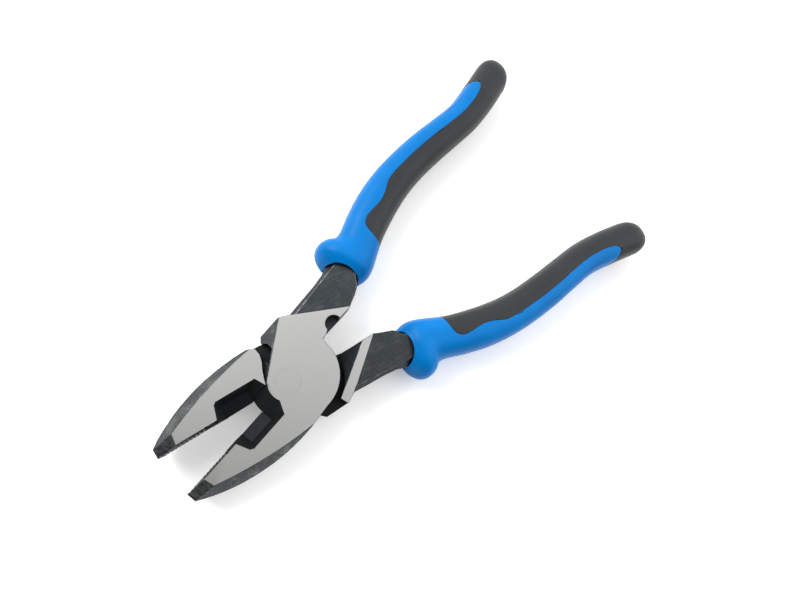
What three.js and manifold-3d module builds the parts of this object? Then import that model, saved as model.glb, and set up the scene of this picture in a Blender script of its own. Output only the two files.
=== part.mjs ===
// Nine-inch lineman pliers with a crimping nest behind the joint, standing open by OPEN_ANGLE.
// Frame: origin at the centre of the rivet on the head's back face, +Z through the head's
// thickness, +Y towards the handles, +X to the right. Millimetres.
// Both halves are the same forging: half B is half A turned over about the Y axis.
// Every outline below is half A's, with the pliers closed, seen from its ground face.

import * as THREE from 'three';
import * as BufferGeometryUtils from 'three/addons/utils/BufferGeometryUtils.js';
import Module from 'manifold-3d';

// Driving dimensions -------------------------------------------------------------------------

const OPEN_ANGLE = 17.5;          // degrees between the two halves as the tool stands
const GAP = 0.3;                  // clearance between pieces that touch on the real tool
const HALF_GAP = GAP / 2;
const HEAD_HALF = 8;              // half the head's thickness, from its middle to a ground face

const NOSE_Y = -57.2;             // jaw tips
const NOSE_WIDTH = 4.3;
const NOSE_HALF = 5.2;            // half the thickness at the tip
const FACE_END_Y = -48.7;         // the ground face ends here and the nose begins to taper
const FACE_END_LEAN = 0.6;        // its outer end lies this much further back
const SIDE_X = 19.6;              // greatest half width of the head
const LAYER_OVERLAP = 1;          // the two layers are joined through this much height
const JAW_STEPS = 12;             // flats along a jaw's outer side
const JAW_FALL = 48;              // degrees below the ground face

const TOOTH_COUNT = 12;
const TOOTH_PITCH = 1.68;
const TOOTH_DEPTH = 0.75;
const TOOTH_START_Y = -56.6;
const TOOTH_CHAMFER = 1.05;       // width of the chamfer between the teeth and the ground face
const TOOTH_CHAMFER_FALL = 62;    // degrees below the ground face
const GROOVE_DEPTH = 1.2;         // relief groove between the teeth and the cutting edge
const GROOVE_WIDTH = 0.8;

const KNIFE_END_Y = -16.4;        // rear end of the cutting edge
const KNIFE_SLOPE = 27;           // degrees, the knife's bevel against the middle plane
const POCKET_WALL = 66;           // degrees, steep walls of the milled pocket above the knife
const POCKET_RUNOUT = 44;         // degrees, its rear wall
const POCKET_CORNER = 1;          // its outer front corner is cut back this far along both walls

const PLATE_FRONT_RADIUS = 8.5;   // plate's front edge at the ground face
const PLATE_FOOT_RADIUS = 16;     // the same edge where it runs out at the middle plane
const PLATE_REAR_RADIUS = 17.8;
const PLATE_REAR_CENTRE = [1, 4];

const NEST_CENTRE = [-1.9, 30];   // crimping nest
const NEST_RADIUS = 3.6;
const WEB_RADIUS = 23.2;          // floor under the nest, which clears the other half's plate
const WEB_ARC = [93.5, 126];      // degrees, its front edge about the rivet
const WEB_FALL = 50;              // degrees, its slope away from the ground face
const LOBE_FALL = 46;             // degrees, bevel of the shoulder's lobe

const RIVET_RADIUS = 5;
const TANG_TAPER = 4.5;           // degrees, each face of the tang falls away from the shoulder
const TANG_CHAMFER_FALL = 50;     // degrees, along the tang's outer edge
const TANG_CHAMFER_HEIGHT = 7.2;
const TANG_ROUND_FALLS = [24, 42, 60];  // degrees, flats that round off the tang's inner edge
const TANG_ROUND_STEP = 0.8;      // each flat is this much narrower at the guard than the last
const CORE_HALF = 4.6;            // half the tang's thickness inside the grip
const SLEEVE_WALL = 1.5;
const MOUTH_CLEARANCE = 0.4;      // between the tang and the mouth of the guard
const MOUTH_HALF = 7.3;           // half the mouth's thickness
const MOUTH_RAKE = 61;            // degrees, the mouth's edge slopes back towards both faces
const MOUTH_EDGE_HALF = 0.5;      // half the height at which that slope begins

const GRIP_SIDES = 20;
const GRIP_STEPS = 30;
const SECTION_POWER = 2.4;        // 2 is an ellipse, more is squarer

const COLOURS = {
  steel: 0xb4b5b2,
  rivet: 0xa9aaa8,
  sleeve: 0x2b2d30,
  grip: 0x3a3c3e,
  guard: 0x1476d6,
};

// Outlines of the forging --------------------------------------------------------------------

const SHOULDER = [-19.9, 16];         // front end of the ground face's outer edge
const SHOULDER_SIDE = [-20.8, 16.4];
const FACE_OUTER = [-18.1, 20.3];     // outer end of the line where ground face and tang meet
const FACE_INNER = [-1.5, 40.2];      // its inner end
const LOBE_SIDE = [-21.2, 6.2];       // shoulder lobe, which stops the other jaw
const LOBE_TIP = [-19.1, 4.1];
const LOBE_ROOT = [-16.8, 5.8];
const STOP_REAR = [-13.9, 5.6];       // straight outer edge of the plate
const STOP_FRONT = [-8.2, -3.4];
const RECESS_OUTER = [-17.4, 14.7];   // recess wall, which clears the other plate
const RECESS_INNER = [-1.8, 34.4];
const NOTCH = [[-1.2, 24.5], [-0.9, 22.2]];

const POCKET = { front: [1.2, -31.2], outer: [7.75, -29.1], rear: [7.75, -10.8], inner: [3, -8.2] };
const JAW_BACK = [[3.5, -8.35], [6.4, -7.5], [9.3, -6.5], [12.2, -5.1], [15.4, -4.4], [18.2, -4.9]];

const TANG_OUTER = [[-18.6, 28.5], [-18.9, 36], [-19.7, 42.5]];
const TANG_INNER = [[-5.3, 49.3], [-3.4, 45.3]];
const TANG_ROOT = [[-1.9, 38.3], [-16.4, 18.9]];
const TANG_CHAMFER_LINE = [[-18, 47], [-16.9, 20]];
const TANG_ROUND_END = [-7.6, 49.3];  // inner end of the widest flat, at the guard

// Handle: matching points on its outer and inner side, from the guard's mouth to the butt,
// with half the thickness of the grip and half the width of the tang inside it.
const STATIONS = [
  { outer: [-21.2, 44.4], inner: [-5.4, 50.3], half: 8.6, core: 7.5 },
  { outer: [-25.4, 45.7], inner: [-4.8, 52.4], half: 9.8, core: 7.3 },
  { outer: [-28.9, 48.4], inner: [-4.4, 54.6], half: 10.4, core: 7.0 },
  { outer: [-30.3, 52.2], inner: [-4.4, 57], half: 10.7, core: 6.7 },
  { outer: [-29.4, 56.4], inner: [-5, 59.6], half: 10.6, core: 6.4 },
  { outer: [-27.2, 59.6], inner: [-6, 62.4], half: 10.3, core: 6.1 },
  { outer: [-27.5, 64], inner: [-7.8, 66.4], half: 10, core: 5.9 },
  { outer: [-30.4, 72.5], inner: [-11.1, 74], half: 9.8, core: 5.5 },
  { outer: [-33.4, 84], inner: [-14.2, 85], half: 9.6, core: 5.1 },
  { outer: [-34.9, 96], inner: [-16.5, 96.6], half: 9.5, core: 4.8 },
  { outer: [-35, 108], inner: [-17.3, 108], half: 9.3, core: 4.6 },
  { outer: [-34.1, 121], inner: [-16.7, 121], half: 9, core: 4.4 },
  { outer: [-32.3, 134], inner: [-15.5, 134], half: 8.7, core: 4.2 },
  { outer: [-30.8, 147], inner: [-14.4, 147], half: 8.4, core: 4 },
  { outer: [-32.1, 160], inner: [-15.1, 160], half: 8.4, core: 3.8 },
  { outer: [-34, 172.6], inner: [-17, 173.4], half: 8.4, core: 3.6 },
];
const DOME_LENGTH = 8.9;              // round butt beyond the last station
const MOUTH_DIRECTION = [-0.366, 0.93];
const NECK_END = 0.36;                // ends of the thick neck, the sleeve's mouth and the core,
const SLEEVE_START = 0.39;            // as fractions of the handle's length
const CORE_END = 0.93;

// Border between the soft black grip and the blue guard with its outer strip.
const BORDER = [
  [8, 70.6], [-10.4, 70.6], [-18.6, 70.9], [-21.6, 72.8], [-22.7, 77], [-22.7, 84.5], [-24.6, 90.2],
  [-26.7, 95.2], [-27.1, 104], [-26.7, 115], [-25.5, 127], [-23.9, 138], [-23.1, 148], [-24, 157],
  [-25.9, 162], [-28.6, 162.4], [-31, 159.6], [-33.2, 154], [-44, 140],
];

// Solids -------------------------------------------------------------------------------------

const wasm = await Module();
wasm.setup();

function solid(geometry) {
  const bare = geometry.clone();
  bare.deleteAttribute('normal');
  bare.deleteAttribute('uv');
  const merged = BufferGeometryUtils.mergeVertices(bare, 1e-4);
  const triangles = [];
  for (let i = 0; i < merged.index.count; i += 3) {
    const [a, b, c] = [merged.index.getX(i), merged.index.getX(i + 1), merged.index.getX(i + 2)];
    if (a !== b && b !== c && c !== a) {
      triangles.push(a, b, c);
    }
  }
  return new wasm.Manifold(new wasm.Mesh({
    numProp: 3,
    vertProperties: new Float32Array(merged.attributes.position.array),
    triVerts: new Uint32Array(triangles),
  }));
}

function namedMesh(name, body, colour, roughness, metalness) {
  const mesh = body.getMesh();
  const geometry = new THREE.BufferGeometry();
  geometry.setAttribute('position', new THREE.BufferAttribute(mesh.vertProperties, 3));
  geometry.setIndex(new THREE.BufferAttribute(mesh.triVerts, 1));
  const material = new THREE.MeshStandardMaterial({ color: colour, roughness, metalness });
  const piece = new THREE.Mesh(geometry, material);
  piece.name = name;
  return piece;
}

function vector([x, y]) {
  return new THREE.Vector2(x, y);
}

function radians(degrees) {
  return THREE.MathUtils.degToRad(degrees);
}

// A plate of the given outline between two heights.
function plate(points, bottom, top) {
  const shape = new THREE.Shape(points.map(vector));
  const geometry = new THREE.ExtrudeGeometry(shape, { depth: top - bottom, bevelEnabled: false });
  geometry.translate(0, 0, bottom);
  return solid(geometry);
}

function block([left, front], [right, rear]) {
  return plate([[left, front], [right, front], [right, rear], [left, rear]], -2 * HEAD_HALF, 2 * HEAD_HALF);
}

// Everything above the plane that holds a plan line at a height and falls to the line's right.
function above(from, to, height, fall) {
  const reach = 150;
  const along = vector(to).sub(vector(from)).normalize();
  const lean = Math.sin(radians(fall));
  const normal = new THREE.Vector3(along.y * lean, -along.x * lean, Math.cos(radians(fall)));
  const geometry = new THREE.BoxGeometry(2 * reach, 2 * reach, 2 * reach);
  geometry.translate(0, 0, reach);
  geometry.applyQuaternion(new THREE.Quaternion().setFromUnitVectors(new THREE.Vector3(0, 0, 1), normal));
  geometry.translate(from[0], from[1], height);
  return solid(geometry);
}

// The same cut on both faces of a piece.
function cutBothFaces(body, cut) {
  return body.subtract(cut).subtract(cut.mirror([0, 0, 1]));
}

// A solid of revolution about the rivet's axis.
function turned(profile) {
  const geometry = new THREE.LatheGeometry(profile.map(vector), 48);
  geometry.rotateX(Math.PI / 2);
  return solid(geometry);
}

function arc([x, y], radius, from, to, steps) {
  return Array.from({ length: steps + 1 }, (_, i) => {
    const angle = radians(from + (to - from) * i / steps);
    return [x + radius * Math.cos(angle), y + radius * Math.sin(angle)];
  });
}

function bezier(points, steps) {
  const curve = new THREE.CubicBezierCurve(...points.map(vector));
  return curve.getPoints(steps).map((p) => [p.x, p.y]);
}

// Forging ------------------------------------------------------------------------------------

const jawSide = bezier([[NOSE_WIDTH, NOSE_Y], [12.2, -47.5], [20.2, -29.5], [SIDE_X, -8]], JAW_STEPS);
const faceSide = bezier([[5.2, FACE_END_Y - 0.5], [9.6, -40.5], [16.6, -22.5], [SIDE_X, -5]], JAW_STEPS);

// Inner edge of a jaw: the teeth, then the relief groove.
function biteEdge() {
  const points = [[HALF_GAP, NOSE_Y]];
  for (let i = 0; i < TOOTH_COUNT; i += 1) {
    const y = TOOTH_START_Y + i * TOOTH_PITCH;
    points.push([HALF_GAP, y], [HALF_GAP + TOOTH_DEPTH, y + TOOTH_PITCH / 2]);
  }
  const end = TOOTH_START_Y + TOOTH_COUNT * TOOTH_PITCH;
  const bottom = HALF_GAP + GROOVE_DEPTH;
  points.push([HALF_GAP, end], [bottom, end], [bottom, end + GROOVE_WIDTH], [HALF_GAP, end + GROOVE_WIDTH]);
  return points;
}

const jawOutline = [...[...jawSide].reverse(), ...biteEdge(), [HALF_GAP, KNIFE_END_Y]];

// The layer that holds the plate: jaw, disc, shoulder lobe and crimping nest in one outline.
const plateLayer = [
  ...jawOutline,
  ...arc([0, 0], PLATE_FRONT_RADIUS, 270, 205, 6),
  STOP_FRONT,
  STOP_REAR,
  LOBE_ROOT,
  LOBE_TIP,
  LOBE_SIDE,
  SHOULDER_SIDE,
  FACE_OUTER,
  FACE_INNER,
  ...arc(NEST_CENTRE, NEST_RADIUS, 84, 266, 10),
  ...NOTCH,
  ...arc(PLATE_REAR_CENTRE, PLATE_REAR_RADIUS, 86, -3, 16),
];

// The other layer: the jaw up to its back edge, and the shoulder behind the recess wall.
const jawLayer = [...jawOutline, ...JAW_BACK];
const shoulderLayer = [RECESS_OUTER, SHOULDER, SHOULDER_SIDE, FACE_OUTER, FACE_INNER, RECESS_INNER];
const webLayer = [...arc([0, 0], WEB_RADIUS, ...WEB_ARC, 8), ...[...TANG_ROOT].reverse(), FACE_INNER];

// Cone on the rivet's axis that carries a plate's front edge down to the middle plane.
function frontCone(clearance) {
  const foot = PLATE_FOOT_RADIUS + clearance;
  const top = HEAD_HALF + clearance;
  const bottom = HALF_GAP - clearance;
  return turned([[0, bottom], [foot, bottom], [foot, HALF_GAP], [PLATE_FRONT_RADIUS + clearance, top], [0, top]]);
}

// Pocket beside the cutting edge: four walls and the knife's bevel.
function knifePocket() {
  const corner = vector(POCKET.outer);
  const frontWay = vector(POCKET.front).sub(corner).setLength(POCKET_CORNER);
  const rearWay = vector(POCKET.rear).sub(corner).setLength(POCKET_CORNER);
  const cornerFront = corner.clone().add(frontWay).toArray();
  const cornerRear = corner.clone().add(rearWay).toArray();
  return block([0, NOSE_Y], [SIDE_X, 0])
    .intersect(above(cornerRear, cornerFront, HEAD_HALF, POCKET_WALL))
    .intersect(above(POCKET.outer, POCKET.front, HEAD_HALF, POCKET_WALL))
    .intersect(above(POCKET.rear, POCKET.outer, HEAD_HALF, POCKET_WALL))
    .intersect(above(POCKET.inner, POCKET.rear, HEAD_HALF, POCKET_RUNOUT))
    .intersect(above([HALF_GAP, 0], [HALF_GAP, NOSE_Y], 0, KNIFE_SLOPE));
}

// A run of flats along the jaw's outer side, the nose's taper and the chamfer over the teeth.
function jawBevels(body) {
  let jaw = body;
  for (let i = 0; i < JAW_STEPS; i += 1) {
    jaw = cutBothFaces(jaw, above(faceSide[i], faceSide[i + 1], HEAD_HALF, JAW_FALL));
  }
  const noseFall = Math.atan2(HEAD_HALF - NOSE_HALF, FACE_END_Y - NOSE_Y);
  const outerEnd = [jawSide[0][0], FACE_END_Y + FACE_END_LEAN];
  const taper = above([0, FACE_END_Y], outerEnd, HEAD_HALF, THREE.MathUtils.radToDeg(noseFall));
  const edge = HALF_GAP + TOOTH_CHAMFER;
  const chamfer = above([edge, 0], [edge, NOSE_Y], HEAD_HALF, TOOTH_CHAMFER_FALL)
    .intersect(block([-1, NOSE_Y - 1], [edge, POCKET.front[1]]));
  return cutBothFaces(cutBothFaces(jaw, taper), chamfer);
}

// Floor that closes the nest, sloping from the recess wall to the other plate.
function nestWeb() {
  const slope = above(RECESS_OUTER, RECESS_INNER, HEAD_HALF, WEB_FALL).mirror([0, 0, 1]);
  return plate(webLayer, -HEAD_HALF, LAYER_OVERLAP).subtract(slope);
}

// One half of the tool: jaw, plate, shoulder, tang and the core inside the handle.
function forging() {
  const lobeBevel = above(SHOULDER, STOP_FRONT, HEAD_HALF, LOBE_FALL)
    .intersect(block([-2 * SIDE_X, STOP_FRONT[1]], [STOP_FRONT[0], FACE_OUTER[1]]));
  const cone = frontCone(0).intersect(block([STOP_FRONT[0] - 4, -SIDE_X], [POCKET.inner[0], 0]));
  const layers = plate(plateLayer, HALF_GAP, HEAD_HALF)
    .add(plate(jawLayer, -HEAD_HALF, LAYER_OVERLAP))
    .add(plate(shoulderLayer, -HEAD_HALF, LAYER_OVERLAP))
    .add(nestWeb());
  const head = cutBothFaces(jawBevels(layers), knifePocket())
    .subtract(frontCone(GAP).mirror([0, 0, 1]))
    .add(cone)
    .subtract(lobeBevel);
  const core = plate(ribbon(0, NECK_END - 0.03, CORE_END, 10), -CORE_HALF, CORE_HALF);
  const bore = plate(arc([0, 0], RIVET_RADIUS + GAP, 0, 345, 23), -HEAD_HALF, 2 * HEAD_HALF);
  const whole = head.add(neck()).add(core).subtract(bore);
  return cutBothFaces(whole, above(FACE_INNER, FACE_OUTER, HEAD_HALF, TANG_TAPER));
}

// Handle -------------------------------------------------------------------------------------

const outerCurve = new THREE.SplineCurve(STATIONS.map(({ outer }) => vector(outer)));
const innerCurve = new THREE.SplineCurve(STATIONS.map(({ inner }) => vector(inner)));
const sizeCurve = new THREE.SplineCurve(STATIONS.map(({ half, core }) => new THREE.Vector2(half, core)));

// The handle's section at a fraction of its length.
function sectionAt(fraction) {
  const outer = outerCurve.getPoint(fraction);
  const inner = innerCurve.getPoint(fraction);
  const sizes = sizeCurve.getPoint(fraction);
  return {
    middle: outer.clone().add(inner).multiplyScalar(0.5),
    across: inner.clone().sub(outer).multiplyScalar(0.5),
    half: sizes.x,
    core: sizes.y,
  };
}

// Outline in plan of the tang inside the handle, widened by an amount.
function ribbon(extra, from, to, steps) {
  const outerSide = [];
  const innerSide = [];
  for (let i = 0; i <= steps; i += 1) {
    const { middle, across, core } = sectionAt(from + (to - from) * i / steps);
    const reach = across.clone().setLength(core + extra);
    outerSide.push([middle.x - reach.x, middle.y - reach.y]);
    innerSide.unshift([middle.x + reach.x, middle.y + reach.y]);
  }
  return [...outerSide, ...innerSide];
}

// Thick part of the tang, from the shoulder to a little inside the guard.
function neck() {
  const inside = ribbon(0, 0.03, NECK_END, 6);
  const outline = [FACE_OUTER, ...TANG_OUTER, ...inside, ...TANG_INNER, FACE_INNER, ...TANG_ROOT];
  const chamfer = above(...TANG_CHAMFER_LINE, TANG_CHAMFER_HEIGHT, TANG_CHAMFER_FALL);
  const rounds = TANG_ROUND_FALLS.map((fall, i) => {
    const end = [TANG_ROUND_END[0] + i * TANG_ROUND_STEP, TANG_ROUND_END[1]];
    return above(FACE_INNER, end, HEAD_HALF, fall);
  });
  return [chamfer, ...rounds].reduce(cutBothFaces, plate(outline, -HEAD_HALF, HEAD_HALF));
}

// The grip's whole outer shape: a turned bar with a round butt, bent and flattened to the sections.
function gripShape() {
  const profile = [[0, 0]];
  for (let i = 0; i <= GRIP_STEPS; i += 1) {
    profile.push([1, i / GRIP_STEPS]);
  }
  profile.push(...arc([0, 1], 1, 0, 90, 6).slice(1, -1), [0, 2]);
  const geometry = new THREE.LatheGeometry(profile.map(vector), GRIP_SIDES);
  const butt = sectionAt(1).middle.sub(sectionAt(0.98).middle).setLength(DOME_LENGTH);
  const position = geometry.attributes.position;
  for (let i = 0; i < position.count; i += 1) {
    const [x, y, z] = [position.getX(i), position.getY(i), position.getZ(i)];
    const radius = Math.hypot(x, z) || 1;
    const power = Math.abs(x / radius) ** SECTION_POWER + Math.abs(z / radius) ** SECTION_POWER;
    const swell = power ? power ** (-1 / SECTION_POWER) : 0;
    const { middle, across, half } = sectionAt(Math.min(y, 1));
    const past = Math.max(y - 1, 0);
    position.setXYZ(
      i,
      middle.x + across.x * x * swell + butt.x * past,
      middle.y + across.y * x * swell + butt.y * past,
      half * z * swell,
    );
  }
  return solid(geometry);
}

// Room for the tang's neck, the sleeve and the core.
function gripHollow() {
  const mouth = ribbon(MOUTH_CLEARANCE, 0, NECK_END + 0.01, 8);
  const [first, last] = [mouth[0], mouth[mouth.length - 1]];
  const ahead = ([x, y]) => [x - 5 * MOUTH_DIRECTION[0], y - 5 * MOUTH_DIRECTION[1]];
  const neckRoom = plate([ahead(first), ...mouth, ahead(last)], -MOUTH_HALF, MOUTH_HALF);
  const sleeveHalf = CORE_HALF + GAP + SLEEVE_WALL + GAP;
  const extra = GAP + SLEEVE_WALL + GAP;
  return neckRoom.add(plate(ribbon(extra, NECK_END, CORE_END + 0.03, 14), -sleeveHalf, sleeveHalf));
}

// Plan of the black grip's side of the border, with the border moved into it by an amount.
function gripRegion(shift) {
  const curve = new THREE.SplineCurve(BORDER.map(vector));
  const steps = 70;
  const points = Array.from({ length: steps + 1 }, (_, i) => {
    const point = curve.getPoint(i / steps);
    const along = curve.getTangent(i / steps);
    return [point.x + along.y * shift, point.y - along.x * shift];
  });
  return plate([...points, [-44, 200], [8, 200]], -2 * HEAD_HALF, 2 * HEAD_HALF);
}

function sleeve() {
  const outerHalf = CORE_HALF + GAP + SLEEVE_WALL;
  const shell = plate(ribbon(GAP + SLEEVE_WALL, SLEEVE_START, CORE_END + 0.015, 14), -outerHalf, outerHalf);
  const inside = plate(ribbon(GAP, NECK_END, CORE_END + 0.005, 14), -CORE_HALF - GAP, CORE_HALF + GAP);
  return shell.subtract(inside);
}

// Assembly -----------------------------------------------------------------------------------

// One half with its handle's pieces; the same shapes serve both halves.
function half(letter) {
  const [mouth] = STATIONS;
  const rake = above(mouth.outer, mouth.inner, MOUTH_EDGE_HALF, MOUTH_RAKE);
  const shell = cutBothFaces(gripShape().subtract(gripHollow()), rake);
  const group = new THREE.Group();
  group.add(namedMesh(`half_${letter}`, forging(), COLOURS.steel, 0.4, 1));
  group.add(namedMesh(`sleeve_${letter}`, sleeve(), COLOURS.sleeve, 0.6, 0));
  group.add(namedMesh(`grip_${letter}`, shell.intersect(gripRegion(HALF_GAP)), COLOURS.grip, 0.65, 0));
  group.add(namedMesh(`guard_${letter}`, shell.subtract(gripRegion(-HALF_GAP)), COLOURS.guard, 0.4, 0));
  return group;
}

const upper = new THREE.Group();
const rivet = plate(arc([0, 0], RIVET_RADIUS, 0, 345, 23), -HEAD_HALF, HEAD_HALF);
upper.add(half('a'));
upper.add(namedMesh('rivet', rivet, COLOURS.rivet, 0.4, 1));
upper.rotation.z = radians(OPEN_ANGLE / 2);

const turnedOver = half('b');
turnedOver.rotation.y = Math.PI;
const lower = new THREE.Group();
lower.add(turnedOver);
lower.rotation.z = radians(-OPEN_ANGLE / 2);

const pliers = new THREE.Group();
pliers.position.z = HEAD_HALF;
pliers.add(upper, lower);

export default pliers;
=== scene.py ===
"""Looks of a pair of nine-inch lineman pliers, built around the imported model.

Everything is in metres in the model's frame; sizes are written in millimetres and multiplied by MM.
Both halves are one forging, so their shapes are written once, in a half's own frame: the pliers
closed, the joint's middle at the origin, the ground face up, the handles towards +Y.
"""

import logging
import math
from dataclasses import dataclass, field
from enum import Enum

import bmesh
import bpy
import numpy as np
from mathutils import Matrix, Vector


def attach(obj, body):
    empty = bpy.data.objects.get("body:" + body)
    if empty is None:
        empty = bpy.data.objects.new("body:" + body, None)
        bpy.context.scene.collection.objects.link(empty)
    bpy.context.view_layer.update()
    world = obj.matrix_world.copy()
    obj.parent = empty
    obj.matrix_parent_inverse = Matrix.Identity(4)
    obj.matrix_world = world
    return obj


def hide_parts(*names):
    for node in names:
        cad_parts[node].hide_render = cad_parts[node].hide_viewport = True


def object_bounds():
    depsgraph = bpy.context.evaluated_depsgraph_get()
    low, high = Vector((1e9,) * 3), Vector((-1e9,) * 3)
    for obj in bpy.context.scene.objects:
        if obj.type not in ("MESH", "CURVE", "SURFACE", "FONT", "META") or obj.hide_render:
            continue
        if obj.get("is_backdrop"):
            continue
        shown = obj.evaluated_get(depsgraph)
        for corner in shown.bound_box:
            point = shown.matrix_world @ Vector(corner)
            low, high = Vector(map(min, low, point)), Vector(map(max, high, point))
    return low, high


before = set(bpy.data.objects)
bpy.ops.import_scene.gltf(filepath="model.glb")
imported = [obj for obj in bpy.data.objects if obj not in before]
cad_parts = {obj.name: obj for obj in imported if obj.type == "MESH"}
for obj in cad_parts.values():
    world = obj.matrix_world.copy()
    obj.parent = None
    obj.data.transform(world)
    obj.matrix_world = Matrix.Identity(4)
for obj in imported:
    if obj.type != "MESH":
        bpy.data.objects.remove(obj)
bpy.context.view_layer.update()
LOG = logging.getLogger("lineman_pliers")

MM = 0.001
OPEN_ANGLE = math.radians(17.5)  # between the two halves as the tool stands
HEAD_HALF = 8 * MM  # half the head's thickness, from its middle to a ground face
GROUND_STEEL = "ground_steel"  # the record's slot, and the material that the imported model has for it


class Side(Enum):
    """The two halves of the tool, which are one shape turned over about the Y axis."""

    A = "a"
    B = "b"

    @property
    def body(self) -> str:
        """Name of the moving body that this half's pieces ride on."""
        return f"side_{self.value}"

    @property
    def placement(self) -> Matrix:
        """Carries a half from its own frame to its place in the standing tool."""
        lift = Matrix.Translation((0, 0, HEAD_HALF))
        if self is Side.A:
            return lift @ Matrix.Rotation(OPEN_ANGLE / 2, 4, "Z")
        return lift @ Matrix.Rotation(-OPEN_ANGLE / 2, 4, "Z") @ Matrix.Rotation(math.pi, 4, "Y")


# Finishes -------------------------------------------------------------------------------------

RELIEF = 0.05 * MM  # height of a finish's grain

def linear(colour: str) -> tuple[float, float, float, float]:
    """Turns an sRGB hex colour to linear light.

    Args:
        colour: Six hex digits after a hash sign.

    Returns:
        Red, green, blue and an alpha of 1.
    """
    parts = [int(colour[i : i + 2], 16) / 255 for i in (1, 3, 5)]
    red, green, blue = (c / 12.92 if c <= 0.04045 else ((c + 0.055) / 1.055) ** 2.4 for c in parts)
    return red, green, blue, 1.0


def add_node(
    tree: bpy.types.NodeTree, kind: str, inputs: dict | None = None, **settings: object
) -> bpy.types.Node:
    """Adds a shader node with its settings and links.

    Args:
        tree: The material's node tree.
        kind: The node's type, such as ShaderNodeBump.
        inputs: A value, or the socket to link from, for each input's name or number.
        settings: The node's own properties.

    Returns:
        The new node.
    """
    node = tree.nodes.new(kind)
    for name, value in settings.items():
        setattr(node, name, value)
    for key, value in (inputs or {}).items():
        if isinstance(value, bpy.types.NodeSocket):
            tree.links.new(value, node.inputs[key])
        else:
            node.inputs[key].default_value = value
    return node


class MixSocket:
    """Numbers of a colour Mix node's sockets, whose names repeat."""

    FACTOR = 0
    FIRST = 6
    SECOND = 7
    RESULT = 2


@dataclass(frozen=True)
class Finish:
    """A material: its name and the tools that all finishes draw with."""

    name: str

    def start(self) -> tuple[bpy.types.Material, bpy.types.NodeTree, bpy.types.NodeSocket]:
        """Makes the empty material.

        Returns:
            The material, its node tree and the socket of object coordinates.
        """
        material = bpy.data.materials.new(self.name)
        material.use_nodes = True
        tree = material.node_tree
        tree.nodes.clear()
        return material, tree, add_node(tree, "ShaderNodeTexCoord").outputs["Object"]

    def grain(
        self, tree: bpy.types.NodeTree, place: bpy.types.NodeSocket, size: tuple[float, float, float],
        turn: float = 0.0, detail: float = 2.0,
    ) -> bpy.types.NodeSocket:
        """Draws an uneven pattern whose specks have a given size.

        Args:
            tree: The material's node tree.
            place: Object coordinates.
            size: Length of a speck along X, Y and Z, in metres.
            turn: Angle of the specks about Z, in radians.
            detail: Octaves of finer pattern.

        Returns:
            The socket of the pattern, about 0.25 to 0.75.
        """
        inputs = {"Vector": place, "Rotation": (0.0, 0.0, turn), "Scale": size}
        mapped = add_node(tree, "ShaderNodeMapping", inputs, vector_type="TEXTURE")
        inputs = {"Vector": mapped.outputs["Vector"], "Scale": 1.0, "Detail": detail}
        return add_node(tree, "ShaderNodeTexNoise", inputs).outputs["Fac"]

    def span(
        self, tree: bpy.types.NodeTree, value: bpy.types.NodeSocket, low: float, high: float,
        start: float, end: float,
    ) -> bpy.types.NodeSocket:
        """Maps a pattern from low..high to start..end, clamped, and returns its socket."""
        inputs = {"Value": value, "From Min": low, "From Max": high, "To Min": start, "To Max": end}
        return add_node(tree, "ShaderNodeMapRange", inputs).outputs["Result"]

    def mix(
        self, tree: bpy.types.NodeTree, share: bpy.types.NodeSocket, first: object, second: object
    ) -> bpy.types.NodeSocket:
        """Mixes two colours, given as values or sockets, and returns the result's socket."""
        inputs = {MixSocket.FACTOR: share, MixSocket.FIRST: first, MixSocket.SECOND: second}
        return add_node(tree, "ShaderNodeMix", inputs, data_type="RGBA").outputs[MixSocket.RESULT]

    def close(self, tree: bpy.types.NodeTree, inputs: dict) -> None:
        """Ends the tree in the surface shader with these inputs."""
        shader = add_node(tree, "ShaderNodeBsdfPrincipled", inputs)
        add_node(tree, "ShaderNodeOutputMaterial", {"Surface": shader.outputs["BSDF"]})


@dataclass(frozen=True)
class BlackOxide(Finish):
    """Forged tool steel in black oxide: a dark grey satin with a faint forged mottle and rubs.

    The lighter edge kind lies along edges, where handling has rubbed the oxide down to the steel, and adds
    a painted highlight there; the flank kind on the jaws' flanks and the shoulder's lobe holds scuffs and a
    painted highlight; and the darkest kind, in the knife's pocket and between the plates, where nothing
    rubs and little light comes, is painted shade.
    """

    name: str = "black_oxide"
    dark: str = "#33373a"
    light: str = "#3e4245"
    rub: str = "#6c7072"
    rub_share: float = 0.25
    mottle: float = 0.7 * MM
    rub_length: float = 5 * MM
    rub_width: float = 0.35 * MM
    rub_turn: float = math.radians(75)
    bump: float = 0.12
    metal: float = 0.9
    roughness: float = 0.45
    spread: float = 0.07  # the roughness goes this far up and down with the mottle

    def build(self) -> bpy.types.Material:
        """Makes the material."""
        material, tree, place = self.start()
        mottle = self.grain(tree, place, (self.mottle,) * 3)
        rubs = self.grain(tree, place, (self.rub_length, self.rub_width, self.rub_width), self.rub_turn)
        clouds = self.grain(tree, place, (10 * self.mottle,) * 3, detail=3.0)
        speckle = self.span(tree, mottle, 0.35, 0.65, 0, 1)
        tone = self.mix(tree, speckle, linear(self.dark), linear(self.light))
        patchy = add_node(tree, "ShaderNodeMath", {0: rubs, 1: clouds}, operation="MULTIPLY").outputs[0]
        share = self.span(tree, patchy, 0.24, 0.42, 0, self.rub_share)
        smooth, rough = self.roughness - self.spread, self.roughness + self.spread
        roughness = self.span(tree, mottle, 0.3, 0.7, smooth, rough)
        relief = {"Height": mottle, "Strength": self.bump, "Distance": RELIEF}
        bump = add_node(tree, "ShaderNodeBump", relief)
        self.close(tree, {
            "Base Color": self.mix(tree, share, tone, linear(self.rub)),
            "Metallic": self.metal,
            "Roughness": roughness,
            "Normal": bump.outputs["Normal"],
        })
        return material


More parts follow.
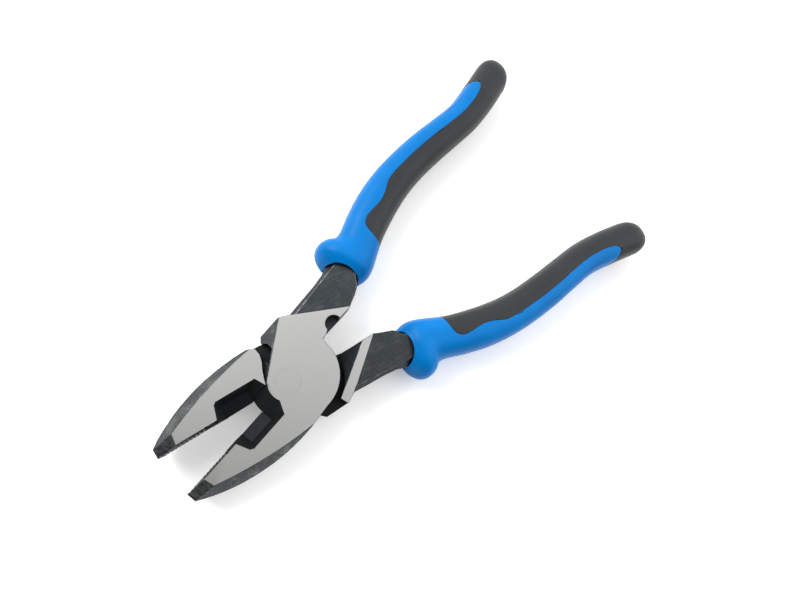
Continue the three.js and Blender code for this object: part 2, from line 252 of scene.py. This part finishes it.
@dataclass(frozen=True)
class MouldedRubber(Finish):
    """Thermoplastic rubber from a finely etched mould: an even colour, softly lit, with no glare."""

    name: str = "black_rubber"
    light: str = "#202427"
    shade: str = "#191d1f"
    roughness: float = 0.48
    gloss: float = 0.4
    grit: float = 0.35 * MM  # the etched grain is about 0.1 mm, drawn coarser to show
    cloud: float = 12 * MM
    bump: float = 0.18
    spread: float = 0.05  # the roughness goes this far up and down with the grit

    def build(self) -> bpy.types.Material:
        """Makes the material."""
        material, tree, place = self.start()
        grit = self.grain(tree, place, (self.grit,) * 3)
        clouds = self.grain(tree, place, (self.cloud,) * 3, detail=3.0)
        shading = self.span(tree, clouds, 0.3, 0.7, 0, 1)
        tone = self.mix(tree, shading, linear(self.light), linear(self.shade))
        smooth, rough = self.roughness - self.spread, self.roughness + self.spread
        roughness = self.span(tree, grit, 0.3, 0.7, smooth, rough)
        relief = {"Height": grit, "Strength": self.bump, "Distance": RELIEF}
        bump = add_node(tree, "ShaderNodeBump", relief)
        self.close(tree, {
            "Base Color": tone,
            "Roughness": roughness,
            "IOR": 1.5,
            "Specular IOR Level": self.gloss,
            "Normal": bump.outputs["Normal"],
        })
        return material


@dataclass
class Finishes:
    """Every finish of the tool, made once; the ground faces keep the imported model's plain steel."""

    ground: bpy.types.Material = field(default_factory=lambda: bpy.data.materials[GROUND_STEEL])
    oxide: bpy.types.Material = field(default_factory=BlackOxide().build)
    # Eased edges: oxide rubbed down to the steel, lightened further as a painted highlight.
    wear_and_highlight: bpy.types.Material = field(default_factory=BlackOxide(
        name="worn_oxide", dark="#4a4d4f", light="#606465", rub="#a9aba8", rub_share=0.9,
        rub_width=1.2 * MM, rub_length=2.5 * MM).build)
    # Very dark oxide, painted shade in the knife's pocket and between the plates.
    painted_shade: bpy.types.Material = field(default_factory=BlackOxide(
        name="deep_oxide", dark="#0e1113", light="#15181b", rub="#24282a", metal=0.5, roughness=0.65).build)
    # Jaws' flanks and the shoulder's lobe: scratched oxide, lighter as a painted highlight.
    scuffs_and_highlight: bpy.types.Material = field(default_factory=BlackOxide(
        name="scuffed_oxide", dark="#3e4243", light="#4d5152", rub="#8c908f", rub_share=0.6,
        rub_width=0.5 * MM, rub_turn=math.radians(20)).build)
    black: bpy.types.Material = field(default_factory=MouldedRubber().build)
    blue: bpy.types.Material = field(default_factory=MouldedRubber(
        name="blue_rubber", light="#0079c8", shade="#0071bc", roughness=0.36, gloss=0.12, bump=0.1).build)
    core: bpy.types.Material = field(default_factory=MouldedRubber(
        name="moulded_polypropylene", light="#2b2d30", shade="#26282a", roughness=0.6).build)


# Shapes ---------------------------------------------------------------------------------------


def catmull_rom(points: np.ndarray, share: float) -> np.ndarray:
    """Reads a smooth curve through rows of points.

    Args:
        points: One row for each point of the curve.
        share: Place along the curve, from 0 to 1.

    Returns:
        The row at that place.
    """
    last = len(points) - 1
    reach = share * last
    step = min(int(reach), last - 1)
    t = reach - step
    before, start, end, after = (points[min(max(step + i, 0), last)] for i in (-1, 0, 1, 2))
    rise, fall = (end - before) / 2, (after - start) / 2
    cubic = (2 * start - 2 * end + rise + fall) * t**3
    square = (3 * end - 3 * start - 2 * rise - fall) * t**2
    return cubic + square + rise * t + start


def finish_piece(
    bm: bmesh.types.BMesh, name: str, body: str, node: str, materials: list[bpy.types.Material]
) -> bpy.types.Object:
    """Turns a mesh in the making into a piece that stands for a node of the model.

    Args:
        bm: The mesh, in place in the model's frame; it is freed.
        name: The piece's name.
        body: The body that it rides on.
        node: The node that it replaces.
        materials: The mesh's materials, in the order of its face numbers.

    Returns:
        The new piece.
    """
    mesh = bpy.data.meshes.new(name)
    bm.to_mesh(mesh)
    bm.free()
    for material in materials:
        mesh.materials.append(material)
    piece = bpy.data.objects.new(name, mesh)
    bpy.context.scene.collection.objects.link(piece)
    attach(piece, body)
    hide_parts(node)
    LOG.info("%s: %d faces on %s", name, len(mesh.polygons), body)
    return piece


class Slot(Enum):
    """Order of the materials on a forging."""

    GROUND = 0
    OXIDE = 1
    # Eased edges: rubbed oxide with a painted highlight.
    WEAR_AND_HIGHLIGHT = 2
    # Painted shade in the knife's pocket and between the plates.
    PAINTED_SHADE = 3
    # Jaws' flanks and lobe: scratches with a painted highlight.
    SCUFFS_AND_HIGHLIGHT = 4


@dataclass
class Forging:
    """One half's steel: the model's own solid with its edges eased and its faces dressed."""

    side: Side
    finishes: Finishes
    weld: float = 0.02 * MM
    flat_angle: float = math.radians(0.7)
    edge_angle: float = math.radians(24)
    edge_ease: float = 0.16 * MM
    ease_steps: int = 2
    shortest: float = 0.5 * MM  # shorter edges stay sharp
    crisp_angle: float = math.radians(34)  # steeper corners stay sharp in the shading
    bore: float = 6 * MM  # radius about the rivet inside which the edges stay sharp
    # Faces within plate of the rivet and right of plate_side, and those in the pocket, get painted shade.
    plate: float = 17.5 * MM  # radius about the rivet of the faces that the other half covers
    plate_side: float = -8 * MM
    pocket: tuple[float, float, float, float] = (-0.5 * MM, 8.4 * MM, -31.7 * MM, -7.4 * MM)
    jaw_end: float = -8 * MM
    lobe: tuple[float, float] = (-8 * MM, 18 * MM)  # the shoulder's lobe lies left of and before these
    level: float = 0.999  # the Z of a ground face's normal is more than this
    level_slack: float = 0.05 * MM
    flank: tuple[float, float] = (0.25, 0.97)  # the Z of the normals of faces that get scuffs and a painted highlight

    def build(self) -> bpy.types.Object:
        """Makes the piece and returns it."""
        node = f"half_{self.side.value}"
        bm = bmesh.new()
        bm.from_mesh(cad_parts[node].data)
        bmesh.ops.remove_doubles(bm, verts=bm.verts, dist=self.weld)
        bmesh.ops.dissolve_limit(bm, angle_limit=self.flat_angle, verts=bm.verts, edges=bm.edges)
        bm.transform(self.side.placement.inverted())
        made = bmesh.ops.bevel(
            bm, geom=[e for e in bm.edges if self.is_corner(e)], offset=self.edge_ease, affect="EDGES",
            segments=self.ease_steps, profile=0.5, material=-1, clamp_overlap=False, loop_slide=True,
        )
        self.dress(bm, set(made["faces"]))
        bm.transform(self.side.placement)
        coats = self.finishes
        materials = [coats.ground, coats.oxide, coats.wear_and_highlight, coats.painted_shade, coats.scuffs_and_highlight]
        name = f"forging_{self.side.value}"
        piece = finish_piece(bm, name, self.side.body, node, materials)
        weighted = piece.modifiers.new("even_shading", "WEIGHTED_NORMAL")
        weighted.keep_sharp = True
        return piece

    def is_corner(self, edge: bmesh.types.BMEdge) -> bool:
        """Tells whether an edge is an outer corner sharp and long enough to be eased."""
        if len(edge.link_faces) != 2 or not edge.is_convex or edge.calc_length() < self.shortest:
            return False
        if all(v.co.xy.length < self.bore for v in edge.verts):
            return False
        return edge.calc_face_angle() > self.edge_angle

    def is_ground(self, face: bmesh.types.BMFace) -> bool:
        """Tells whether a face lies in one of the two ground planes."""
        height = abs(abs(face.calc_center_median().z) - HEAD_HALF)
        return abs(face.normal.z) > self.level and height < self.level_slack

    def is_in_painted_shade(self, place: Vector) -> bool:
        """Tells whether a place lies in the knife's pocket or between the two plates, where faces get
        painted shade.
        """
        left, right, front, rear = self.pocket
        in_pocket = left < place.x < right and front < place.y < rear
        return in_pocket or (place.xy.length < self.plate and place.x > self.plate_side)

    def finish_of(
        self, face: bmesh.types.BMFace, eased: set[bmesh.types.BMFace], ground: set[bmesh.types.BMFace]
    ) -> Slot:
        """Picks a face's finish.

        Args:
            face: The face.
            eased: The faces of the eased corners.
            ground: The faces in the ground planes.

        Returns:
            The number of the finish on the forging.
        """
        place = face.calc_center_median()
        if face in ground:
            return Slot.GROUND
        # The knife's pocket and the faces between the plates get painted shade.
        if self.is_in_painted_shade(place):
            return Slot.PAINTED_SHADE
        # Eased edges get rubbed oxide and a painted highlight.
        if face in eased and not any(n in ground for e in face.edges for n in e.link_faces):
            return Slot.WEAR_AND_HIGHLIGHT
        # The jaws' flanks and the shoulder's lobe get scratches and a painted highlight.
        on_lobe = place.x < self.lobe[0] and place.y < self.lobe[1]
        steep, flat = self.flank
        if (place.y < self.jaw_end or on_lobe) and steep < abs(face.normal.z) < flat:
            return Slot.SCUFFS_AND_HIGHLIGHT
        return Slot.OXIDE

    def dress(self, bm: bmesh.types.BMesh, eased: set[bmesh.types.BMFace]) -> None:
        """Gives each face its finish and marks the edges that stay sharp in the shading.

        Args:
            bm: The forging's mesh, in its own frame.
            eased: The faces of the eased corners.
        """
        bm.normal_update()
        ground = {f for f in bm.faces if f not in eased and self.is_ground(f)}
        for face in bm.faces:
            face.smooth = True
            face.material_index = self.finish_of(face, eased, ground).value
        for edge in bm.edges:
            if len(edge.link_faces) == 2 and edge.calc_face_angle() > self.crisp_angle:
                edge.smooth = False


@dataclass
class Rivet:
    """The joint's pin, set hot and ground flush, so that only a hairline ring shows."""

    finishes: Finishes
    radius: float = 5.25 * MM
    sides: int = 96
    ease: float = 0.02 * MM
    level: float = 0.1 * MM  # a rim's edges rise less than this

    def build(self) -> bpy.types.Object:
        """Makes the piece and returns it."""
        bm = bmesh.new()
        bmesh.ops.create_cone(
            bm, cap_ends=True, segments=self.sides, radius1=self.radius, radius2=self.radius,
            depth=2 * HEAD_HALF, matrix=Matrix.Translation((0, 0, HEAD_HALF)),
        )
        rims = [e for e in bm.edges if abs(e.verts[0].co.z - e.verts[1].co.z) < self.level]
        bmesh.ops.bevel(
            bm, geom=rims, offset=self.ease, affect="EDGES", segments=1, profile=0.5, material=-1,
        )
        return finish_piece(bm, "joint_rivet", Side.A.body, "rivet", [self.finishes.ground])


@dataclass(frozen=True)
class Ring:
    """One section of a handle's skin, in plan millimetres."""

    middle: np.ndarray
    across: np.ndarray  # from its middle to its side
    half: float  # half its thickness
    ridge: float = 0.0  # height of the mould line on its two sides
    retreat: float = 0.0  # how far its top and bottom lie behind its sides
    wall: float = 1.0  # the wall at its sides, as a share of the full wall


@dataclass
class Handle:
    """One half's soft handle: the blue guard with its outer strip, and the black grip.

    Each station holds the outer and inner side's points in plan and half the handle's thickness
    there, in millimetres, from the guard's mouth to the butt.
    """

    side: Side
    finishes: Finishes
    stations: np.ndarray = field(default_factory=lambda: np.array([
        (-21.2, 44.4, -5.4, 50.3, 9.0),
        (-25.4, 45.7, -4.8, 52.4, 9.8),
        (-28.9, 48.4, -4.4, 54.6, 10.4),
        (-30.3, 52.2, -4.4, 57.0, 10.7),
        (-29.4, 56.4, -5.0, 59.6, 10.6),
        (-27.2, 59.6, -6.0, 62.4, 10.3),
        (-27.5, 64.0, -7.8, 66.4, 10.0),
        (-30.4, 72.5, -11.1, 74.0, 9.8),
        (-33.4, 84.0, -14.2, 85.0, 9.6),
        (-34.9, 96.0, -16.5, 96.6, 9.5),
        (-35.0, 108.0, -17.3, 108.0, 9.3),
        (-34.1, 121.0, -16.7, 121.0, 9.0),
        (-32.3, 134.0, -15.5, 134.0, 8.7),
        (-30.8, 147.0, -14.4, 147.0, 8.4),
        (-32.1, 160.0, -15.1, 160.0, 8.4),
        (-34.0, 172.6, -17.0, 173.4, 8.4),
    ]))
    border: np.ndarray = field(default_factory=lambda: np.array([
        (8, 70.6), (-10.4, 70.6), (-18.6, 70.9), (-21.6, 72.8), (-22.7, 77), (-22.7, 84.5),
        (-24.6, 90.2), (-26.7, 95.2), (-27.1, 104), (-26.7, 115), (-25.5, 127), (-23.9, 138),
        (-23.1, 148), (-24, 157), (-25.9, 162), (-28.6, 162.4), (-31, 159.6), (-33.2, 154), (-44, 140),
    ]))
    sides: int = 96
    steps: int = 150
    dome_steps: int = 12
    dome_length: float = 8.9
    power: float = 2.4  # of the rounded section; 2 is an ellipse, more is squarer
    mouth_retreat: float = 5.0  # the mouth's rim is cut back this far above and below the tang
    mouth_way: np.ndarray = field(default_factory=lambda: np.array((-0.35, 0.937)))
    mouth_length: float = 0.3  # share of the handle over which the cut back fades away
    rim_wall: float = 0.35  # the wall at the rim's sides, as a share of the full wall
    rim_length: float = 0.06
    ridge: float = 0.22  # height of the line where the mould's halves met
    trim: float = 0.22  # taken off the outline all round, so that the ridge stays inside it
    wall: float = 1.5 * MM
    groove: float = 0.2 * MM  # rounding of the rims and of the edges where blue and black meet
    snap: float = 0.1  # vertices nearer than this to the border are taken as on it
    border_steps: int = 180
    mouth_power: float = 1.2  # of the mouth's cut back round a section
    ridge_sine: float = 0.01  # the ridge lies where the angle's sine is less than this
    tip: float = 0.02  # share of the section that is left where the dome closes
    look_back: float = 0.98  # share of the handle from which the butt's direction is taken
    rim_steps: int = 3
    rim_angle: float = math.radians(50)
    name: str = "border"  # of every moulding; the later ones are numbered

    def section(self, share: float) -> tuple[np.ndarray, np.ndarray, float]:
        """Reads the handle's section.

        Args:
            share: Place along the handle, from 0 at the mouth to 1 where the butt's dome begins.

        Returns:
            Its middle and half width as plan vectors, and half its thickness.
        """
        row = catmull_rom(self.stations, share)
        outer, inner = row[0:2], row[2:4]
        return (outer + inner) / 2, (inner - outer) / 2, row[4]

    def rings(self) -> list[Ring]:
        """Lists the sections from the mouth's rim to the butt."""
        found = []
        for i in range(self.steps + 1):
            share = i / self.steps
            middle, across, half = self.section(share)
            fade = min(share / self.mouth_length, 1)
            retreat = self.mouth_retreat * (1 - fade * fade * (3 - 2 * fade))
            wall = min(self.rim_wall + (1 - self.rim_wall) * share / self.rim_length, 1)
            trimmed = across * (1 - self.trim / np.linalg.norm(across))
            found.append(Ring(middle, trimmed, half - self.trim, self.ridge, retreat, wall))
        last = found[-1]
        ahead = last.middle - self.section(self.look_back)[0]
        ahead *= self.dome_length / np.linalg.norm(ahead)
        for i in range(1, self.dome_steps):
            angle = math.pi / 2 * i / self.dome_steps
            shrink = math.cos(angle)
            middle = last.middle + ahead * math.sin(angle)
            found.append(Ring(middle, last.across * shrink, last.half * shrink, self.ridge))
        found.append(Ring(last.middle + ahead, last.across * self.tip, last.half * self.tip))
        return found

    def place(self, verts: list[bmesh.types.BMVert], layers: dict, ring: Ring) -> None:
        """Puts a ring of vertices on a rounded section.

        Args:
            verts: The vertices.
            layers: The layers that hold each vertex's angle and its share of the wall.
            ring: The section.
        """
        width = np.linalg.norm(ring.across)
        for vert in verts:
            cosine, sine = math.cos(vert[layers["turn"]]), math.sin(vert[layers["turn"]])
            swell = (abs(cosine) ** self.power + abs(sine) ** self.power) ** (-1 / self.power)
            reach = cosine * swell * (1 + (ring.ridge / width if abs(sine) < self.ridge_sine else 0))
            back = ring.retreat * abs(sine) ** self.mouth_power
            x, y = ring.middle + ring.across * reach + self.mouth_way * back
            vert.co = Vector((x, y, ring.half * sine * swell)) * MM
            vert[layers["wall"]] = ring.wall + (1 - ring.wall) * abs(sine)

    def skin(self) -> bmesh.types.BMesh:
        """Lofts the handle's whole outer skin, in the half's own frame."""
        bm = bmesh.new()
        names = ("turn", "wall")
        for name in names:
            bm.verts.layers.float.new(name)
        # A new layer spoils the references to the ones before it, so both are fetched at the end.
        layers = {name: bm.verts.layers.float[name] for name in names}
        verts = bmesh.ops.create_circle(bm, segments=self.sides, radius=1)["verts"]
        for vert in verts:
            vert[layers["turn"]] = math.atan2(vert.co.y, vert.co.x)
        edges = list(bm.edges)
        first, *others = self.rings()
        self.place(verts, layers, first)
        for ring in others:
            grown = bmesh.ops.extrude_edge_only(bm, edges=edges)["geom"]
            verts = [g for g in grown if isinstance(g, bmesh.types.BMVert)]
            fresh = set(verts)
            edges = [g for g in grown if isinstance(g, bmesh.types.BMEdge) and set(g.verts) <= fresh]
            self.place(verts, layers, ring)
        bmesh.ops.pointmerge(bm, verts=verts, merge_co=sum((v.co for v in verts), Vector()) / len(verts))
        bmesh.ops.recalc_face_normals(bm, faces=bm.faces)
        return bm

    def border_distances(self, places: np.ndarray) -> np.ndarray:
        """Measures how far points lie from the border between blue and black, in plan.

        Args:
            places: Rows of x and y, in millimetres.

        Returns:
            One distance for each row, positive on the black side.
        """
        steps = self.border_steps
        line = np.array([catmull_rom(self.border, i / steps) for i in range(steps + 1)])
        start, step = line[:-1], np.diff(line, axis=0)
        found = np.full(len(places), np.inf)
        signed = np.zeros(len(places))
        for (ax, ay), (sx, sy) in zip(start, step):
            px, py = places[:, 0] - ax, places[:, 1] - ay
            share = np.clip((px * sx + py * sy) / (sx * sx + sy * sy), 0, 1)
            gap = np.hypot(px - share * sx, py - share * sy)
            nearer = gap < found
            found[nearer] = gap[nearer]
            signed[nearer] = np.where(sy * px - sx * py > 0, gap, -gap)[nearer]
        return signed

    def cut(self, bm: bmesh.types.BMesh, keep_black: bool) -> None:
        """Cuts the skin along the border and keeps one side of it.

        Args:
            bm: The whole skin.
            keep_black: Whether the black side stays, and not the blue one.
        """
        bm.verts.ensure_lookup_table()
        places = np.array([v.co[:2] for v in bm.verts]) / MM
        layer = bm.verts.layers.float.new("border")
        for vert, distance in zip(bm.verts, self.border_distances(places)):
            vert[layer] = 0.0 if abs(distance) < self.snap else distance
        for edge in list(bm.edges):
            first, second = edge.verts
            if first[layer] * second[layer] < 0:
                share = first[layer] / (first[layer] - second[layer])
                _, middle = bmesh.utils.edge_split(edge, first, share)
                middle[layer] = 0.0
        for face in list(bm.faces):
            on_line = [v for v in face.verts if v[layer] == 0.0]
            if len(on_line) == 2 and not set(on_line[0].link_edges) & set(on_line[1].link_edges):
                bmesh.utils.face_split(face, *on_line)
        wanted = 1 if keep_black else -1
        spare = [f for f in bm.faces if wanted * sum(v[layer] for v in f.verts) <= 0]
        bmesh.ops.delete(bm, geom=spare, context="FACES")

    def part(
        self, node: str, keep_black: bool, material: bpy.types.Material
    ) -> bpy.types.Object:
        """Makes one of the handle's two mouldings.

        Args:
            node: The node that it replaces.
            keep_black: Whether it is the black moulding.
            material: Its finish.

        Returns:
            The piece.
        """
        bm = self.skin()
        self.cut(bm, keep_black)
        for face in bm.faces:
            face.smooth = True
        layers = bm.verts.layers.float
        walls = [v[layers["wall"]] for v in bm.verts]
        for layer in ("turn", "wall", "border"):
            layers.remove(layers[layer])
        bm.transform(self.side.placement)
        piece = finish_piece(bm, self.name, self.side.body, node, [material])
        group = piece.vertex_groups.new(name="wall")
        for index, weight in enumerate(walls):
            group.add([index], weight, "REPLACE")
        wall = piece.modifiers.new("wall", "SOLIDIFY")
        wall.thickness = self.wall
        wall.offset = -1
        wall.vertex_group = group.name
        wall.use_rim = True
        rim = piece.modifiers.new("rim", "BEVEL")
        rim.width = self.groove
        rim.segments = self.rim_steps
        rim.limit_method = "ANGLE"
        rim.angle_limit = self.rim_angle
        rim.use_clamp_overlap = False
        return piece

    def build(self) -> list[bpy.types.Object]:
        """Makes both mouldings and dresses the hard sleeve under them."""
        letter = self.side.value
        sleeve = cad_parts[f"sleeve_{letter}"]
        sleeve.data.materials.clear()
        sleeve.data.materials.append(self.finishes.core)
        return [
            self.part(f"grip_{letter}", True, self.finishes.black),
            self.part(f"guard_{letter}", False, self.finishes.blue),
        ]


# Studio ---------------------------------------------------------------------------------------


@dataclass(frozen=True)
class Softbox:
    """A square lamp that faces the tool."""

    name: str
    place: tuple[float, float, float]
    size: float
    power: float  # watts


@dataclass(frozen=True)
class Studio:
    """Pale floor, soft light and the camera, none of which belong to the tool."""

    azimuth: float = math.radians(3.98)
    elevation: float = math.radians(75.74)
    roll: float = math.radians(46.10)
    distance: float = 254.2 * MM
    target: tuple[float, float, float] = (3.67 * MM, 59.87 * MM, 8 * MM)
    lens: float = 25.64
    floor_size: float = 12.0
    floor_colour: str = "#fbfbfa"
    sky_way: tuple[float, float, float] = (-0.35, 0.94, 0.0)  # the sky is brighter on this side
    sky_dim: float = 0.1
    sky_bright: float = 1.45
    sky_reach: float = 0.32  # sine of the angle from overhead at which it is dimmest and brightest
    horizon: float = 0.65  # brightness of the room's walls
    horizon_low: float = 0.1  # sines of the heights between which the walls fade into the sky
    horizon_high: float = 0.4
    floor_glow: float = 0.3  # lifts the shadows, as a lit table does
    softboxes: tuple[Softbox, ...] = (
        Softbox("key", (-0.45, -0.05, 0.45), 0.35, 2.6),
        Softbox("fill", (0.4, 0.5, 0.6), 0.6, 1.2),
    )

    def axes(self) -> tuple[Vector, Vector, Vector]:
        """Returns the camera's right, up and back directions."""
        a, e, r = self.azimuth, self.elevation, self.roll
        back = Vector((math.sin(a) * math.cos(e), -math.cos(a) * math.cos(e), math.sin(e)))
        level = Vector((math.cos(a), math.sin(a), 0))
        rise = back.cross(level)
        return (
            level * math.cos(r) + rise * math.sin(r),
            rise * math.cos(r) - level * math.sin(r),
            back,
        )

    def camera(self) -> None:
        """Makes the camera and gives it to the scene."""
        right, up, back = self.axes()
        data = bpy.data.cameras.new("camera")
        data.lens = self.lens
        data.sensor_width = 36
        data.clip_start = 0.01
        data.clip_end = 10
        camera = bpy.data.objects.new("camera", data)
        bpy.context.scene.collection.objects.link(camera)
        turn = Matrix((right, up, back)).transposed().to_4x4()
        camera.matrix_world = Matrix.Translation(Vector(self.target) + back * self.distance) @ turn
        bpy.context.scene.camera = camera

    def floor(self) -> None:
        """Makes the floor just under the tool; it is clear from below, so the underside can be seen."""
        bm = bmesh.new()
        bmesh.ops.create_grid(bm, x_segments=1, y_segments=1, size=self.floor_size / 2)
        bm.transform(Matrix.Translation((0, 0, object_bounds()[0].z)))
        mesh = bpy.data.meshes.new("floor")
        bm.to_mesh(mesh)
        bm.free()
        material = bpy.data.materials.new("floor_paint")
        material.use_nodes = True
        tree = material.node_tree
        tree.nodes.clear()
        paint = add_node(tree, "ShaderNodeBsdfPrincipled", {
            "Base Color": linear(self.floor_colour), "Roughness": 0.9,
            "Emission Color": (1, 1, 1, 1), "Emission Strength": self.floor_glow,
        })
        clear = add_node(tree, "ShaderNodeBsdfTransparent")
        below = add_node(tree, "ShaderNodeNewGeometry").outputs["Backfacing"]
        inputs = {0: below, 1: paint.outputs["BSDF"], 2: clear.outputs["BSDF"]}
        surface = add_node(tree, "ShaderNodeMixShader", inputs)
        add_node(tree, "ShaderNodeOutputMaterial", {"Surface": surface.outputs["Shader"]})
        mesh.materials.append(material)
        floor = bpy.data.objects.new("floor", mesh)
        bpy.context.scene.collection.objects.link(floor)
        floor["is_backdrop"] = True

    def hang(self, box: Softbox) -> None:
        """Hangs a lamp in its place and turns it to the tool."""
        data = bpy.data.lights.new(box.name, "AREA")
        data.shape = "SQUARE"
        data.size = box.size
        data.energy = box.power
        lamp = bpy.data.objects.new(box.name, data)
        bpy.context.scene.collection.objects.link(lamp)
        aim = Vector(self.target) - Vector(box.place)
        turn = aim.to_track_quat("-Z", "Y").to_matrix().to_4x4()
        lamp.matrix_world = Matrix.Translation(box.place) @ turn

    def sky(self) -> None:
        """Lights the room softly, with one side brighter than the other."""
        world = bpy.data.worlds.new("studio")
        world.use_nodes = True
        tree = world.node_tree
        way = add_node(tree, "ShaderNodeTexCoord").outputs["Generated"]
        slope = add_node(tree, "ShaderNodeVectorMath", {0: way, 1: self.sky_way}, operation="DOT_PRODUCT")
        inputs = {
            "Value": slope.outputs["Value"], "From Min": -self.sky_reach, "From Max": self.sky_reach,
            "To Min": self.sky_dim, "To Max": self.sky_bright,
        }
        overhead = add_node(tree, "ShaderNodeMapRange", inputs).outputs["Result"]
        height = add_node(tree, "ShaderNodeSeparateXYZ", {"Vector": way}).outputs["Z"]
        inputs = {
            "Value": height, "From Min": self.horizon_low, "From Max": self.horizon_high,
            "To Min": self.horizon, "To Max": 0.0,
        }
        walls = add_node(tree, "ShaderNodeMapRange", inputs).outputs["Result"]
        strength = add_node(tree, "ShaderNodeMath", {0: overhead, 1: walls}, operation="MAXIMUM").outputs[0]
        background = tree.nodes["Background"]
        background.inputs["Color"].default_value = (1, 1, 1, 1)
        tree.links.new(strength, background.inputs["Strength"])
        bpy.context.scene.world = world

    def build(self) -> None:
        """Makes the whole stage."""
        self.camera()
        self.floor()
        self.sky()
        bpy.context.scene.view_settings.view_transform = "Standard"
        for box in self.softboxes:
            self.hang(box)


def main() -> None:
    """Builds the tool's pieces in order, then the stage."""
    logging.basicConfig(level=logging.INFO, format="%(message)s")
    finishes = Finishes()
    for side in Side:
        Forging(side, finishes).build()
        Handle(side, finishes).build()
    Rivet(finishes).build()
    Studio().build()


if __name__ == "__main__":
    main()
